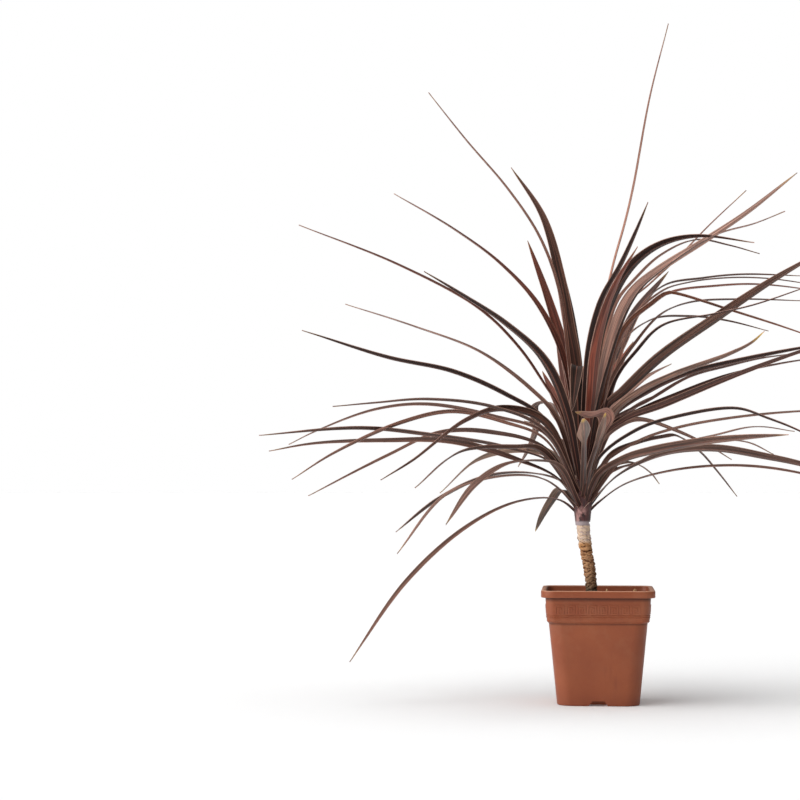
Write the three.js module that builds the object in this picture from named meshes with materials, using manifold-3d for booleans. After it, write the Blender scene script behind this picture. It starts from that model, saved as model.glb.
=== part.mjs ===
// A red star cabbage tree in a square terracotta-coloured plastic nursery pot.
// Millimetres, +Z up, origin at the centre of the pot's underside, front face towards -Y.
import * as THREE from "three";
import { mergeVertices } from "three/addons/utils/BufferGeometryUtils.js";
import Module from "manifold-3d";

// Pot
const rimSide = 170;
const potHeight = 172.6;
const footSide = 124;
const rimDrop = 10.8;
const bandDrop = 36;
const bandTopSide = 157;
const bandFootSide = 152.6;
const stepIn = 2.4;
const wallThickness = 2.2;
const rimCornerRadius = 20;
const bandCornerRadius = 13;
const bodyCornerRadius = 23;
const cornerSteps = 5;

// Drain channels at the middle of each side, and the holes in their roofs
const channelFootWidth = 30;
const channelRoofWidth = 18;
const channelHeight = 7.5;
const channelReach = 25;
const drainRadius = 4;

// Key pattern on the band
const keyPitch = 16;
const keyHeight = 14.5;
const keyLine = 2;
const keyRelief = 0.8;
const keyUnits = 8;
const keyTopBelowRim = 21;
const ridgeHeight = 1.4;

// Soil and stem
const soilLevel = 160.6;
const soilRoughness = 1.6;
const clearance = 0.35;
const stemFoot = 106.6;
const stemTop = 270.6;
const stemRadius = 9;
const stemSides = 12;
const barkRing = 8;
const barkBulge = 0.55;

// Crown
const crownX = -22.4;
const crownTop = 394.6;
const lowestRoot = 281.6;
const highestRoot = 347.6;
const rootDepth = 5;
const rootWidth = 9;
const ribThickness = 1.7;
const ribTop = 0.5;
const foldSlope = 0.22;
const depthPower = 1.25;
const extraSteps = 3;
const rollLength = 0.35;
const swellLength = 0.45;

// The routes of the leaves were measured in an upright plane through the stem, seen from this point,
// with their heights above a level a little over the pot's underside. The plane faces the middle of
// the view, so it is turned a little about the stem.
const routeLevel = 2.6;
const viewpoint = new THREE.Vector3(-15, -3500, 354.6);
const viewTurn = THREE.MathUtils.degToRad(4.7);

// One row a leaf, oldest first: blade width, how far the tip lies behind the stem, the width that shows
// from the front at mid-length, or 0 for a blade that lies as it grew, then x and z along the midrib.
const leafRoutes = [
  [18, -90, 7, -60, 304, -120, 301, -200, 261, -290, 180, -377, 58],
  [14, -60, 3.5, 0, 298, 40, 327, 120, 349, 220, 355, 308, 344, 400, 318],
  [16, 160, 14, -45, 312, -57, 319, -70, 303, -84, 280, -95, 256],
  [16, 430, 0, -30, 330, -35, 342, -34, 330, -30, 312],
  [14, -200, 3, -60, 321, -91, 338, -160, 337, -232, 310, -305, 222],
  [14, 330, 3, 20, 345, 60, 359, 100, 376, 160, 392, 225, 392, 268, 373],
  [16, 230, 5, -40, 320, -80, 341, -160, 341, -240, 306, -307, 255],
  [22, 100, 12, 20, 332, 60, 357, 110, 376, 180, 381, 260, 368, 308, 358, 390, 335],
  [18, -330, 5, -60, 355, -94, 363, -140, 357, -187, 326, -231, 266],
  [12, 180, 6, 20, 352, 40, 360, 60, 358, 80, 345, 94, 328],
  [22, 60, 9, -60, 335, -120, 363, -220, 391, -320, 393, -431, 389, -500, 378],
  [22, -330, 13, 1, 341, 40, 365, 90, 379, 150, 390, 220, 398, 291, 403],
  [20, 340, 12, -67, 368, -106, 380, -180, 365, -240, 314],
  [14, 380, 2, 40, 366, 110, 386, 180, 402, 240, 415, 300, 408],
  [20, -60, 6, -68, 358, -140, 383, -260, 402, -360, 412, -515, 402],
  [16, 150, 4, 0, 348, 60, 391, 120, 412, 200, 427, 308, 438, 400, 440],
  [18, -300, 7, -86, 379, -129, 383, -209, 376, -278, 322],
  [16, 220, 6, 20, 371, 60, 390, 100, 399, 120, 401, 154, 378, 180, 349, 212, 309],
  [20, 420, 0, -50, 350, -80, 372, -100, 382, -125, 386],
  [18, -130, 5, 0, 363, 60, 409, 120, 429, 212, 442, 260, 427, 308, 408, 372, 372],
  [20, 450, 0, -33, 340, -40, 368, -48, 388],
  [20, 160, 7, -80, 381, -160, 405, -240, 405, -320, 370, -440, 310],
  [18, 120, 8, 0, 385, 40, 420, 66, 425, 120, 408, 170, 385, 204, 365],
  [18, 420, 0, 0, 335, 22, 347, 40, 354, 62, 361],
  [20, 100, 6, -80, 403, -160, 430, -260, 448, -340, 440, -431, 407, -470, 388],
  [18, -300, 15, -14, 345, 0, 390, 9, 420, 12, 437],
  [22, 40, 10, 0, 388, 40, 424, 100, 447, 200, 488, 308, 528, 430, 566],
  [18, -60, 6, -80, 395, -140, 420, -220, 437, -300, 420, -400, 375, -465, 335],
  [20, 450, 0, 10, 400, 40, 430, 65, 450, 85, 462],
  [18, -260, 4, -80, 408, -160, 444, -260, 456, -340, 451, -403, 446],
  [18, 240, 6, 0, 400, 60, 437, 120, 463, 200, 493, 280, 511, 360, 524],
  [18, -190, 9, -80, 422, -145, 442, -200, 424, -280, 364, -330, 334],
  [16, 250, 5, 10, 412, 80, 455, 140, 490, 200, 507, 250, 519, 330, 530],
  [20, 430, 0, -50, 380, -75, 405, -95, 418, -112, 424],
  [20, -140, 8, 20, 425, 80, 469, 140, 496, 220, 516, 308, 534, 380, 546],
  [20, -120, 7, -80, 424, -140, 463, -220, 498, -320, 520, -450, 562],
  [22, 150, 12, -50, 405, -66, 432, -76, 451, -95, 445, -92, 415, -105, 380, -121, 354],
  [18, -300, 9, 20, 430, 65, 468, 120, 495, 200, 525, 235, 543, 255, 561],
  [32, -420, 29, -21, 360, -20, 400, -20, 416, -22, 428],
  [16, 220, 5, -64, 430, -100, 470, -180, 529, -280, 568, -384, 602],
  [24, 300, 16, 20, 440, 45, 465, 75, 490, 113, 511],
  [20, 400, 0, 15, 445, 45, 475, 75, 500, 95, 515],
  [26, -160, 16, 10, 440, 40, 468, 100, 523, 180, 579, 260, 633, 352, 688],
  [16, 60, 4.5, -58, 441, -80, 477, -120, 535, -180, 594, -300, 660, -455, 723],
  [34, -150, 31, 2, 395, 14, 427, 8, 435, -8, 432, -34, 438],
  [24, -320, 11, -48, 440, -82, 516, -140, 571, -213, 620, -264, 652],
  [12, 330, 2.5, 30, 530, 80, 577, 140, 583, 195, 577, 261, 561],
  [20, 450, 0, -45, 420, -60, 450, -72, 475, -84, 500],
  [16, -160, 4, 28, 485, 60, 529, 100, 569, 180, 587, 240, 601, 330, 632],
  [14, 250, 4, 20, 480, 60, 544, 100, 588, 140, 604, 214, 609, 318, 607],
  [28, -90, 27, -28, 400, -31, 480, -31, 507, -33, 490, -38, 440],
  [18, -120, 7, 40, 560, 85, 603, 108, 618, 125, 616, 200, 593, 280, 568, 345, 546],
  [12, 350, 2, 60, 585, 100, 629, 160, 641, 220, 647, 316, 645],
  [16, 60, 5, 40, 560, 80, 600, 115, 620, 180, 629, 240, 632, 308, 626, 350, 618],
  [22, 470, 0, -25, 400, -30, 460, -38, 500, -48, 540],
  [14, 240, 3.5, 45, 565, 100, 622, 140, 635, 200, 642, 260, 641, 330, 632],
  [20, 200, 8, -49, 508, -89, 597, -148, 663, -220, 717, -310, 771],
  [26, 330, 21, 0, 480, 30, 530, 60, 590, 109, 652],
  [20, 420, 0, -40, 430, -48, 480, -56, 530, -64, 575],
  [18, 240, 7, 5, 500, 28, 600, 60, 641, 100, 678, 150, 700, 200, 692, 248, 679],
  [20, 180, 0, 5, 430, 22, 480, 40, 520, 55, 545],
  [14, 300, 3.5, 15, 520, 45, 600, 80, 632, 121, 670, 172, 723, 228, 776],
  [24, 180, 19, -46, 511, -60, 560, -77, 615, -106, 699],
  [28, -200, 18, -5, 500, 8, 570, 36, 636, 66, 672, 104, 695, 155, 705, 240, 696],
  [14, -280, 3, 15, 500, 60, 615, 110, 662, 180, 707, 240, 725, 287, 744],
  [22, 440, 0, -12, 420, -2, 500, 10, 560, 22, 600],
  [24, 140, 16, 10, 500, 38, 590, 60, 625, 100, 657, 160, 695, 230, 742, 306, 803],
  [22, 420, 0, 5, 430, 25, 500, 40, 545, 52, 570],
  [14, 380, 4, -26, 505, -33, 560, -40, 600, -52, 650, -66, 700],
  [22, -400, 16, -10, 450, -2, 530, 12, 590, 30, 635, 62, 690],
  [26, 150, 19, -34, 510, -45, 570, -57, 640, -83, 735, -131, 811],
  [20, 480, 0, -28, 380, -35, 430, -40, 470, -44, 500],
  [22, -260, 13, -15, 480, -5, 560, 10, 612, 38, 664, 60, 713, 78, 758],
  [16, 130, 5, -45, 520, -60, 626, -89, 705, -136, 777, -200, 853, -257, 926],
  [14, 120, 3, -8, 480, 5, 570, 26, 664, 44, 728, 57, 784, 82, 920, 110, 1032],
];

const wasm = await Module();
wasm.setup();

const plastic = new THREE.MeshStandardMaterial({ color: 0x9a5238, roughness: 0.55, metalness: 0 });
const compost = new THREE.MeshStandardMaterial({ color: 0x2b1d15, roughness: 1, metalness: 0 });
const bark = new THREE.MeshStandardMaterial({ color: 0xb98f60, roughness: 0.85, metalness: 0 });
const foliage = new THREE.MeshStandardMaterial({ color: 0x4a302b, roughness: 0.5, metalness: 0 });

function solidOf(geometry) {
  const bare = geometry.clone();
  bare.deleteAttribute("normal");
  bare.deleteAttribute("uv");
  const merged = mergeVertices(bare, 1e-4);
  return new wasm.Manifold(
    new wasm.Mesh({
      numProp: 3,
      vertProperties: merged.attributes.position.array,
      triVerts: new Uint32Array(merged.index.array),
    }),
  );
}

function geometryOf(solid) {
  const mesh = solid.getMesh();
  const geometry = new THREE.BufferGeometry();
  geometry.setAttribute("position", new THREE.BufferAttribute(mesh.vertProperties, 3));
  geometry.setIndex(new THREE.BufferAttribute(mesh.triVerts, 1));
  geometry.computeVertexNormals();
  return geometry;
}

// The largest body of a solid, with any hollow sealed inside it filled.
function outerBody(solid) {
  const bodies = solid.decompose();
  return bodies.reduce((largest, body) => (body.volume() > largest.volume() ? body : largest));
}

// Skins a stack of rings, each with the same number of points, and closes both ends on a centre point.
function skin(rings) {
  const sides = rings[0].length;
  const points = rings.flat();
  const triangles = [];
  for (let level = 1; level < rings.length; level += 1) {
    for (let side = 0; side < sides; side += 1) {
      const next = (side + 1) % sides;
      const low = (level - 1) * sides;
      const high = level * sides;
      triangles.push(low + side, low + next, high + next);
      triangles.push(low + side, high + next, high + side);
    }
  }
  for (const [level, outward] of [[0, false], [rings.length - 1, true]]) {
    const centre = new THREE.Vector3();
    rings[level].forEach((point) => centre.addScaledVector(point, 1 / sides));
    const hub = points.push(centre) - 1;
    for (let side = 0; side < sides; side += 1) {
      const here = level * sides + side;
      const next = level * sides + (side + 1) % sides;
      triangles.push(...(outward ? [hub, here, next] : [hub, next, here]));
    }
  }
  return new THREE.BufferGeometry().setFromPoints(points).setIndex(triangles);
}

function squareRing(half, radius, z) {
  const points = [];
  for (let corner = 0; corner < 4; corner += 1) {
    const towardsX = corner === 0 || corner === 3 ? 1 : -1;
    const towardsY = corner < 2 ? 1 : -1;
    for (let step = 0; step <= cornerSteps; step += 1) {
      const angle = ((corner + step / cornerSteps) * Math.PI) / 2;
      const x = towardsX * (half - radius) + radius * Math.cos(angle);
      const y = towardsY * (half - radius) + radius * Math.sin(angle);
      points.push(new THREE.Vector3(x, y, z));
    }
  }
  return points;
}

const bandTop = potHeight - rimDrop;
const bandFoot = bandTop - bandDrop;
const stepFoot = bandFoot - 2;
const bodyHalf = bandFootSide / 2 - stepIn;

function wallHalf(z) {
  const low = footSide / 2;
  return z < stepFoot
    ? THREE.MathUtils.mapLinear(z, 0, stepFoot, low, bodyHalf)
    : THREE.MathUtils.mapLinear(z, bandFoot, bandTop, bandFootSide / 2, bandTopSide / 2);
}

// A prism along Y whose section is the channel's, grown by a wall where it stands in the soil.
function channel(grow, reach) {
  const foot = channelFootWidth / 2 + grow;
  const roof = channelRoofWidth / 2 + grow;
  const section = new THREE.Shape([
    new THREE.Vector2(-foot, -1),
    new THREE.Vector2(foot, -1),
    new THREE.Vector2(roof, channelHeight + grow),
    new THREE.Vector2(-roof, channelHeight + grow),
  ]);
  const prism = new THREE.ExtrudeGeometry(section, { depth: reach, bevelEnabled: false });
  return prism.rotateX(Math.PI / 2);
}

function onFourSides(makeSolid) {
  let all = null;
  for (let side = 0; side < 4; side += 1) {
    const solid = makeSolid().rotate([0, 0, side * 90]);
    all = all ? all.add(solid) : solid;
  }
  return all;
}

// The outline of a line of even width along an upright and level zigzag.
function thickLine(points, width) {
  const left = [];
  const right = [];
  points.forEach((point, index) => {
    const before = points[Math.max(index - 1, 0)];
    const after = points[Math.min(index + 1, points.length - 1)];
    const offset = new THREE.Vector2();
    for (const [from, to] of [[before, point], [point, after]]) {
      const along = to.clone().sub(from).normalize();
      offset.add(new THREE.Vector2(-along.y, along.x));
    }
    offset.multiplyScalar(width / 2);
    left.push(point.clone().add(offset));
    right.unshift(point.clone().sub(offset));
  });
  return new THREE.Shape([...left, ...right]);
}

// One face of the band: a row of square key spirals over two ridge lines.
function bandRelief() {
  const gap = keyPitch / 4;
  const high = keyHeight - keyLine;
  const shapes = [];
  for (let unit = 0; unit < keyUnits; unit += 1) {
    const left = (unit - keyUnits / 2) * keyPitch + keyLine / 2;
    const spiral = [[0, 0], [0, high], [3 * gap, high], [3 * gap, 0], [gap, 0], [gap, high - gap],
      [2 * gap, high - gap], [2 * gap, gap]];
    shapes.push(thickLine(spiral.map(([x, z]) => new THREE.Vector2(left + x, z)), keyLine));
  }
  for (const drop of [ridgeHeight * 2, ridgeHeight * 4]) {
    const half = bandFootSide / 2 - bandCornerRadius;
    const ends = [new THREE.Vector2(-half, -drop), new THREE.Vector2(half, -drop)];
    shapes.push(thickLine(ends, ridgeHeight / 2));
  }
  const relief = new THREE.ExtrudeGeometry(shapes, { depth: keyRelief + 1, bevelEnabled: false });
  const baseLine = potHeight - keyTopBelowRim - keyHeight + keyLine / 2;
  const lean = Math.atan((bandTopSide - bandFootSide) / 2 / bandDrop);
  relief.rotateX(Math.PI / 2 + lean);
  relief.translate(0, -wallHalf(baseLine) + 1, baseLine);
  return relief;
}

function makePot() {
  const foot = footSide / 2;
  const rim = rimSide / 2;
  const profile = [
    [foot - 3.2, 0, bodyCornerRadius],
    [foot - 0.8, 0.8, bodyCornerRadius],
    [foot, 3, bodyCornerRadius],
    [bodyHalf, stepFoot, bodyCornerRadius],
    [bandFootSide / 2, bandFoot, bandCornerRadius],
    [bandTopSide / 2, bandTop + 3, bandCornerRadius],
    [rim - 2, bandTop + 3, rimCornerRadius - 2],
    [rim - 2, bandTop, rimCornerRadius - 2],
    [rim - 0.6, bandTop, rimCornerRadius],
    [rim, bandTop + 1, rimCornerRadius],
    [rim, potHeight - 1.6, rimCornerRadius],
    [rim - 1.4, potHeight, rimCornerRadius - 1],
    [bandTopSide / 2 + 0.4, potHeight, bandCornerRadius],
    [bandTopSide / 2 - wallThickness + 0.6, potHeight - 2.4, bandCornerRadius - wallThickness],
    [bandFootSide / 2 - wallThickness, bandFoot + 2.6, bandCornerRadius - wallThickness],
    [bodyHalf - wallThickness, stepFoot + 1, bodyCornerRadius - wallThickness],
    [foot - wallThickness, 4.4, bodyCornerRadius - wallThickness],
    [foot - wallThickness - 2, wallThickness, bodyCornerRadius - wallThickness],
  ];
  const shell = skin(profile.map(([half, z, radius]) => squareRing(half, radius, z)));
  const reach = channelReach + wallThickness;
  const hump = () => solidOf(channel(wallThickness, reach)).translate([0, foot - 0.5, 0]);
  const hollow = () => solidOf(channel(0, channelReach + 10)).translate([0, foot + 10, 0]);
  const drain = () => {
    const hole = new THREE.CylinderGeometry(drainRadius, drainRadius, 20, 16).rotateX(Math.PI / 2);
    return solidOf(hole.translate(0, foot - channelReach / 2, channelHeight));
  };
  const raised = onFourSides(() => solidOf(bandRelief()));
  const inside = skin([
    squareRing(foot - 1, bodyCornerRadius, 0.6),
    squareRing(foot - 1, bodyCornerRadius, channelHeight * 2),
  ]);
  const humps = onFourSides(hump).intersect(solidOf(inside));
  const whole = solidOf(shell).add(raised).add(humps);
  return geometryOf(whole.subtract(onFourSides(hollow)).subtract(onFourSides(drain)));
}

// Seeded random numbers from 0 to 1.
function randomFrom(seed) {
  let state = seed;
  return () => {
    state = (state * 16807) % 2147483647;
    return state / 2147483647;
  };
}

const stemLine = new THREE.CatmullRomCurve3([
  new THREE.Vector3(-8, 0, stemFoot),
  new THREE.Vector3(-8.5, 0, 152.6),
  new THREE.Vector3(-10.5, 0, 182.6),
  new THREE.Vector3(-14.5, 0, 212.6),
  new THREE.Vector3(-18.5, 0, 234.6),
  new THREE.Vector3(-21.2, 0, 254.6),
  new THREE.Vector3(crownX, 0, stemTop),
]);

// The stem's skin, with a low swelling at each ring of old leaf scars; grown by a clearance for its hole.
function stemSkin(grow) {
  const levels = Math.round((stemTop - stemFoot) / barkRing) * 2;
  const rings = [];
  for (let level = 0; level <= levels; level += 1) {
    const centre = stemLine.getPointAt(level / levels);
    const swell = grow > 0 || level % 2 ? barkBulge : 0;
    const widen = 1 + 0.08 * Math.cos((level / levels) * Math.PI * 2);
    const radius = stemRadius * widen + swell - barkBulge / 2 + grow;
    const ring = [];
    for (let side = 0; side < stemSides; side += 1) {
      const angle = (side / stemSides) * Math.PI * 2;
      ring.push(new THREE.Vector3(centre.x + radius * Math.cos(angle), radius * Math.sin(angle), centre.z));
    }
    rings.push(ring);
  }
  return skin(rings);
}

function makeSoil() {
  const random = randomFrom(41);
  const inner = (z) => wallHalf(z) - wallThickness - clearance;
  const rings = [
    squareRing(inner(0) - 2.2, bodyCornerRadius - wallThickness, wallThickness + clearance),
    squareRing(inner(0) - 0.2, bodyCornerRadius - wallThickness, 5),
    squareRing(inner(stepFoot - 1) - 0.3, bodyCornerRadius - wallThickness, stepFoot + 0.5),
    squareRing(inner(bandFoot) - 0.3, bandCornerRadius - wallThickness, bandFoot + 3.4),
    squareRing(inner(soilLevel) - 1, bandCornerRadius - wallThickness, soilLevel - 2),
  ];
  for (const half of [66, 52, 38, 26, 18]) {
    const mound = THREE.MathUtils.mapLinear(half, 66, 18, -1, 2.5);
    const ring = squareRing(half, half * 0.7, soilLevel + mound);
    ring.forEach((point) => {
      point.z += (random() - 0.5) * 2 * soilRoughness;
    });
    rings.push(ring);
  }
  const shifted = skin(rings);
  const grow = wallThickness + clearance;
  const reach = channelReach + 2 * wallThickness;
  const humps = onFourSides(() => solidOf(channel(grow, reach)).translate([0, footSide / 2, 0]));
  return geometryOf(solidOf(shifted).subtract(humps).subtract(solidOf(stemSkin(clearance))));
}

// Where a point of the front view lies, once it is moved back along its line of sight.
function placeBehind(x, z, depth) {
  const seen = new THREE.Vector3(x * Math.cos(viewTurn), x * Math.sin(viewTurn), z);
  return viewpoint.clone().lerp(seen, (depth - viewpoint.y) / (seen.y - viewpoint.y));
}

// The midrib of a leaf: from its root in the crown through its measured points.
function midrib(row, rank) {
  const [, back, , ...measured] = row;
  const rootZ = THREE.MathUtils.lerp(lowestRoot, highestRoot, rank);
  const seen = [new THREE.Vector2(crownX, rootZ)];
  for (let index = 0; index < measured.length; index += 2) {
    seen.push(new THREE.Vector2(measured[index], measured[index + 1] + routeLevel));
  }
  const run = [0];
  for (let index = 1; index < seen.length; index += 1) {
    run.push(run[index - 1] + seen[index].distanceTo(seen[index - 1]));
  }
  const points = seen.map((point, index) => {
    const depth = back * (run[index] / run.at(-1)) ** depthPower;
    return placeBehind(point.x, point.y, depth);
  });
  const heading = points[1].clone().sub(points[0]).setZ(0).normalize();
  points[0].addScaledVector(heading, rootDepth);
  return new THREE.CatmullRomCurve3(points, false, "centripetal");
}

// How far a blade is rolled about its midrib to show this share of its width to the front.
function rollToShow(along, across, share) {
  if (!share) return 0;
  const away = new THREE.Vector3(0, 1, 0).projectOnPlane(along).normalize();
  const level = along.clone().cross(away);
  const lie = Math.atan2(across.dot(level), across.dot(away));
  const rolls = [Math.asin(share) - lie, -Math.asin(share) - lie];
  const least = rolls.map((roll) => roll - Math.PI * Math.round(roll / Math.PI));
  return Math.abs(least[0]) < Math.abs(least[1]) ? least[0] : least[1];
}

// A sword-shaped blade along its midrib, folded a little to a channel, thickest at the rib.
function blade(row, rank) {
  const [width, , shown] = row;
  const line = midrib(row, rank);
  const steps = line.points.length + extraSteps;
  const stations = [];
  let run = 0;
  for (let step = 0; step <= steps; step += 1) {
    const centre = line.getPoint(step / steps);
    const along = line.getTangent(step / steps);
    let across = along.clone().cross(new THREE.Vector3(0, 0, 1)).normalize();
    if (step) {
      const before = stations[step - 1];
      run += centre.distanceTo(before.centre);
      across = before.across.clone().applyQuaternion(
        new THREE.Quaternion().setFromUnitVectors(before.along, along),
      );
    }
    stations.push({ centre, along, across, run });
  }
  const middle = stations.find((station) => station.run > run / 2);
  const roll = rollToShow(middle.along, middle.across, shown / width);
  const points = [];
  for (const station of stations.slice(0, steps)) {
    const share = station.run / run;
    const turned = roll * THREE.MathUtils.smoothstep(share, 0, rollLength);
    const side = station.across.clone().applyAxisAngle(station.along, turned);
    const up = side.clone().cross(station.along);
    const swell = THREE.MathUtils.smoothstep(share, 0, swellLength);
    const half = (THREE.MathUtils.lerp(rootWidth, width, swell) / 2) * (1 - share ** 3) ** 0.75;
    const edge = station.centre.clone().addScaledVector(up, half * foldSlope);
    points.push(edge.clone().addScaledVector(side, half));
    points.push(station.centre.clone().addScaledVector(up, ribTop));
    points.push(edge.addScaledVector(side, -half));
    points.push(station.centre.clone().addScaledVector(up, ribTop - ribThickness));
  }
  const tip = points.push(stations[steps].centre) - 1;
  const triangles = [0, 1, 3, 1, 2, 3];
  for (let ring = 0; ring < points.length - 1; ring += 4) {
    for (let corner = 0; corner < 4; corner += 1) {
      const here = ring + corner;
      const next = ring + ((corner + 1) % 4);
      if (ring + 4 === tip) {
        triangles.push(here, tip, next);
      } else if (corner % 2) {
        triangles.push(here, here + 4, next, next, here + 4, next + 4);
      } else {
        triangles.push(here, next + 4, next, here, here + 4, next + 4);
      }
    }
  }
  return new THREE.BufferGeometry().setFromPoints(points).setIndex(triangles);
}

function makeCrown() {
  const floor = stemTop + clearance;
  const sheath = [[10, floor], [11.2, 278.6], [12.6, 288.6], [12.8, 302.6], [11, 327.6], [7.5, 357.6],
    [2.5, crownTop]];
  const core = sheath.map(([radius, z]) => {
    const ring = [];
    for (let side = 0; side < stemSides; side += 1) {
      const angle = (side / stemSides) * Math.PI * 2;
      ring.push(new THREE.Vector3(crownX + radius * Math.cos(angle), radius * Math.sin(angle), z));
    }
    return ring;
  });
  let crown = solidOf(skin(core));
  leafRoutes.forEach((row, index) => {
    crown = crown.add(solidOf(blade(row, index / (leafRoutes.length - 1))));
  });
  return geometryOf(outerBody(crown));
}

function named(name, geometry, material) {
  const mesh = new THREE.Mesh(geometry, material);
  mesh.name = name;
  return mesh;
}

const plant = new THREE.Group();
plant.add(named("pot", makePot(), plastic));
plant.add(named("soil", makeSoil(), compost));
plant.add(named("stem", geometryOf(solidOf(stemSkin(0))), bark));
plant.add(named("leaf_crown", makeCrown(), foliage));

export default plant;
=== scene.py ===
import math
import random

import bpy
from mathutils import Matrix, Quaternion, Vector


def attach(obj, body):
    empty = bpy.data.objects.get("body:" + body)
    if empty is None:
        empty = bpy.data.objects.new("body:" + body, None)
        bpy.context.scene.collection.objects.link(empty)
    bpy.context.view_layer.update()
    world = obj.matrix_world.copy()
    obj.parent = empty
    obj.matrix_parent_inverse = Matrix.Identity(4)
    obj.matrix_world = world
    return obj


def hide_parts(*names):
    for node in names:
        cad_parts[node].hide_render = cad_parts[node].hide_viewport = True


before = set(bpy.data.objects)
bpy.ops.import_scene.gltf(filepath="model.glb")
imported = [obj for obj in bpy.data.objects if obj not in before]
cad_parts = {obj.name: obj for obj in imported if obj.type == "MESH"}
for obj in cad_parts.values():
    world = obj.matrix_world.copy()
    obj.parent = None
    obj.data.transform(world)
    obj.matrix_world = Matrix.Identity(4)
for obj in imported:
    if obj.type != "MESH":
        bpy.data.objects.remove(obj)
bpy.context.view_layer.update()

mm = 0.001


# Small helpers

def leaveAll():
    if bpy.context.object and bpy.context.object.mode != "OBJECT":
        bpy.ops.object.mode_set(mode="OBJECT")
    bpy.ops.object.select_all(action="DESELECT")


def takeUp(piece):
    leaveAll()
    piece.select_set(True)
    bpy.context.view_layer.objects.active = piece
    return piece


def justAdded(name):
    piece = bpy.context.object
    piece.name = name
    piece.data.name = name
    return piece


def pick(piece, chosen, kind="VERT"):
    # leaves the piece in edit mode with only the chosen vertices or faces selected
    takeUp(piece)
    bpy.ops.object.mode_set(mode="EDIT")
    bpy.ops.mesh.select_mode(type=kind)
    bpy.ops.mesh.select_all(action="DESELECT")
    bpy.ops.object.mode_set(mode="OBJECT")
    for item in piece.data.vertices if kind == "VERT" else piece.data.polygons:
        item.select = chosen(item)
    bpy.ops.object.mode_set(mode="EDIT")


def joinAll(pieces, name):
    leaveAll()
    for piece in pieces:
        piece.select_set(True)
    bpy.context.view_layer.objects.active = pieces[0]
    if len(pieces) > 1:
        bpy.ops.object.join()
    return justAdded(name)


def settle(piece, *modifiers):
    # adds each modifier from its kind and settings, and applies it
    takeUp(piece)
    for kind, settings in modifiers:
        modifier = piece.modifiers.new(kind.title(), kind)
        for key, value in settings.items():
            setattr(modifier, key, value)
        bpy.ops.object.modifier_apply(modifier=modifier.name)
    return piece


def fixPlace(piece):
    takeUp(piece)
    bpy.ops.object.transform_apply(location=True, rotation=True, scale=True)
    return piece


def faceOut(piece, weld=0.00001):
    pick(piece, lambda vertex: True)
    bpy.ops.mesh.remove_doubles(threshold=weld)
    bpy.ops.mesh.normals_make_consistent(inside=False)
    bpy.ops.object.mode_set(mode="OBJECT")
    return piece


def smooth(piece, degrees):
    takeUp(piece)
    bpy.ops.object.shade_smooth_by_angle(angle=math.radians(degrees))
    return piece


def copyOf(piece, name):
    copy = piece.copy()
    copy.data = piece.data.copy()
    copy.name = name
    bpy.context.scene.collection.objects.link(copy)
    return copy


def mix(low, high, share):
    return low + (high - low) * share


def easeIn(share, end):
    share = min(max(share / end, 0), 1)
    return share * share * (3 - 2 * share)


def wear(piece, *materials):
    for material in materials:
        piece.data.materials.append(material)
    return piece


def finish(piece, node):
    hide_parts(node)
    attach(piece, "root")


# Node helpers

def paint(red, green, blue):
    # a colour as a paint program shows it, made linear
    def linear(value):
        value /= 255
        return value / 12.92 if value <= 0.04045 else ((value + 0.055) / 1.055) ** 2.4
    return linear(red), linear(green), linear(blue), 1


def addNode(tree, kind, inputs=None, **settings):
    node = tree.nodes.new("ShaderNode" + kind)
    for key, value in settings.items():
        setattr(node, key, value)
    for key, value in (inputs or {}).items():
        if isinstance(value, bpy.types.NodeSocket):
            tree.links.new(value, node.inputs[key])
        else:
            node.inputs[key].default_value = value
    return node


def reckon(tree, operation, *values):
    node = addNode(tree, "Math", dict(enumerate(values)), operation=operation)
    return node.outputs[0]


def rise(tree, value, start, end, low=0.0, high=1.0):
    node = addNode(tree, "MapRange", {"Value": value, "From Min": start, "From Max": end,
                                      "To Min": low, "To Max": high})
    return node.outputs["Result"]


def blend(tree, share, first, second, blendType="MIX"):
    node = addNode(tree, "Mix", data_type="RGBA", blend_type=blendType)
    for index, value in ((0, share), (6, first), (7, second)):
        if isinstance(value, bpy.types.NodeSocket):
            tree.links.new(value, node.inputs[index])
        else:
            node.inputs[index].default_value = value
    return node.outputs[2]


def mottle(tree, place, scale, detail=3.0, roughness=0.55):
    node = addNode(tree, "TexNoise", {"Vector": place, "Scale": scale, "Detail": detail,
                                      "Roughness": roughness})
    return node.outputs["Fac"]


def stretch(tree, place, scale):
    node = addNode(tree, "Mapping", {"Vector": place, "Scale": scale})
    return node.outputs["Vector"]


def newMaterial(name, roughness, specular):
    material = bpy.data.materials.new(name)
    material.use_nodes = True
    tree = material.node_tree
    shader = tree.nodes["Principled BSDF"]
    shader.inputs["Roughness"].default_value = roughness
    shader.inputs["Specular IOR Level"].default_value = specular
    return material, tree, shader


def objectPlace(tree):
    return addNode(tree, "TexCoord").outputs["Object"]


def dent(tree, shader, height, strength, distance):
    node = addNode(tree, "Bump", {"Height": height, "Strength": strength, "Distance": distance})
    tree.links.new(node.outputs["Normal"], shader.inputs["Normal"])


# The view, the light and the floor

view = {
    "place": (-0.015, -3.5, 0.3546),
    "tilt": 91.705,
    "turn": 4.68,
    "lens": 103.14,
}
bpy.ops.object.camera_add(location=view["place"],
                          rotation=(math.radians(view["tilt"]), 0, math.radians(view["turn"])))
camera = justAdded("camera")
camera.data.lens = view["lens"]
bpy.context.scene.camera = camera
bpy.context.scene.view_settings.view_transform = "Standard"

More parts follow.
